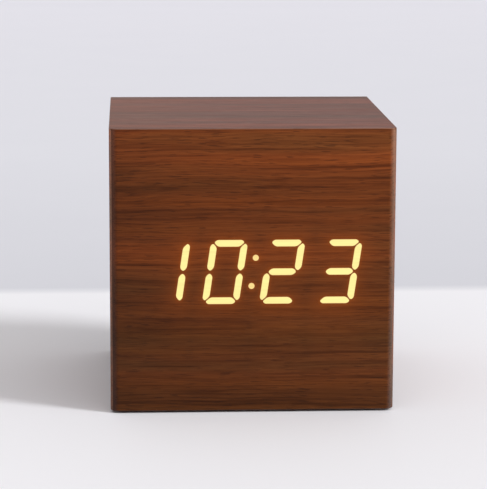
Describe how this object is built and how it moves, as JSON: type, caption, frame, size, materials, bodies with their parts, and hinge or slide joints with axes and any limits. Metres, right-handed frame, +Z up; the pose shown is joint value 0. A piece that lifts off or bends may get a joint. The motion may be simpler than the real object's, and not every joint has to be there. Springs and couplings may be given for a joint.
{
  "type": "digital alarm clock",
  "caption": "Small wooden cube alarm clock: slanted seven-segment digits shine through the front veneer; rear panel with push buttons, USB socket, sound slots and a tilting battery door.",
  "frame": {"origin": "on the table, under the middle of the cube: the rubber feet touch z = 0", "axes": "+Z up, the display faces -Y, +X is to the right as seen from the front"},
  "size_m": [0.063, 0.063, 0.0635],
  "materials": {
    "walnut": "satin walnut veneer on fibreboard, grain along the long run of each face",
    "walnut_veneer": "thin satin walnut veneer, grain level, translucent over the digits",
    "pine": "bare planed pine",
    "rubber": "matt",
    "black_abs": "fine moulded texture",
    "button_abs": "smooth",
    "switch_housing": "smooth",
    "screw_steel": "zinc plated",
    "tinned_steel": "bright tin plate",
    "spring_steel": "nickel plated wire",
    "nickel_strip": "nickel plated strip",
    "cell_sleeve": "printed shrink sleeve over a steel can",
    "reflector_plastic": "white moulded plastic",
    "display_resin": "clear amber casting resin, lit from behind",
    "laminate": "green solder mask on glass fibre laminate",
    "chip_epoxy": "matt moulded epoxy",
    "buzzer_plastic": "smooth",
    "capacitor_sleeve": "shrink sleeve",
    "ribbon_insulation": "grey flexible insulation",
    "red_insulation": "flexible insulation",
    "black_insulation": "flexible insulation"
  },
  "bodies": {
    "case": {"top_board": "walnut", "bottom_board": "walnut", "left_board": "walnut", "right_board": "walnut", "front_board": "walnut", "front_veneer": "walnut_veneer", "corner_block_lower_left": "pine", "corner_block_lower_right": "pine", "corner_block_upper_left": "pine", "corner_block_upper_right": "pine", "board_rail_lower": "pine", "board_rail_upper": "pine", "foot_front_left": "rubber", "foot_front_right": "rubber", "foot_rear_left": "rubber", "foot_rear_right": "rubber", "rear_panel": "black_abs", "battery_tray": "black_abs", "panel_screw_lower_left": "screw_steel", "panel_screw_lower_right": "screw_steel", "panel_screw_upper_left": "screw_steel", "panel_screw_upper_right": "screw_steel", "board_screw_lower": "screw_steel", "board_screw_upper": "screw_steel", "set_switch": "switch_housing", "up_switch": "switch_housing", "down_switch": "switch_housing", "usb_tongue": "switch_housing", "usb_shell": "tinned_steel", "microphone": "tinned_steel", "crystal": "tinned_steel", "battery_1": "cell_sleeve", "battery_2": "cell_sleeve", "battery_3": "cell_sleeve", "battery_spring_1": "spring_steel", "battery_spring_2": "spring_steel", "battery_spring_3": "spring_steel", "battery_link_left": "nickel_strip", "battery_link_right": "nickel_strip", "battery_end_negative": "nickel_strip", "battery_end_positive": "nickel_strip", "display_reflector": "reflector_plastic", "display_resin": "display_resin", "display_led_board": "laminate", "main_board": "laminate", "rear_board": "laminate", "microcontroller": "chip_epoxy", "buzzer": "buzzer_plastic", "capacitor": "capacitor_sleeve", "ribbon_cable": "ribbon_insulation", "battery_wire_positive": "red_insulation", "battery_wire_negative": "black_insulation"},
    "door": {"battery_door": "black_abs"},
    "set_button": {"set_button": "button_abs"},
    "set_plunger": {"set_plunger": "button_abs"},
    "up_button": {"up_button": "button_abs"},
    "up_plunger": {"up_plunger": "button_abs"},
    "down_button": {"down_button": "button_abs"},
    "down_plunger": {"down_plunger": "button_abs"}
  },
  "joints": [
    {"name": "door_tilt", "type": "hinge", "parent": "case", "child": "door", "pos_m": [0, 0.0305, 0.01245], "axis": [-1, 0, 0], "range_deg": [0, 80]},
    {"name": "set_press", "type": "slide", "parent": "case", "child": "set_button", "axis": [0, -1, 0], "range_m": [0, 0.0004], "stiffness_N_per_m": 1000},
    {"name": "set_plunger_slide", "type": "slide", "parent": "case", "child": "set_plunger", "axis": [0, -1, 0], "range_m": [0, 0.0004]},
    {"name": "up_press", "type": "slide", "parent": "case", "child": "up_button", "axis": [0, -1, 0], "range_m": [0, 0.0004], "stiffness_N_per_m": 1000},
    {"name": "up_plunger_slide", "type": "slide", "parent": "case", "child": "up_plunger", "axis": [0, -1, 0], "range_m": [0, 0.0004]},
    {"name": "down_press", "type": "slide", "parent": "case", "child": "down_button", "axis": [0, -1, 0], "range_m": [0, 0.0004], "stiffness_N_per_m": 1000},
    {"name": "down_plunger_slide", "type": "slide", "parent": "case", "child": "down_plunger", "axis": [0, -1, 0], "range_m": [0, 0.0004]}
  ],
  "couplings": [
    {"joint": "set_plunger_slide", "follows": "set_press", "ratio": 1},
    {"joint": "up_plunger_slide", "follows": "up_press", "ratio": 1},
    {"joint": "down_plunger_slide", "follows": "down_press", "ratio": 1}
  ]
}
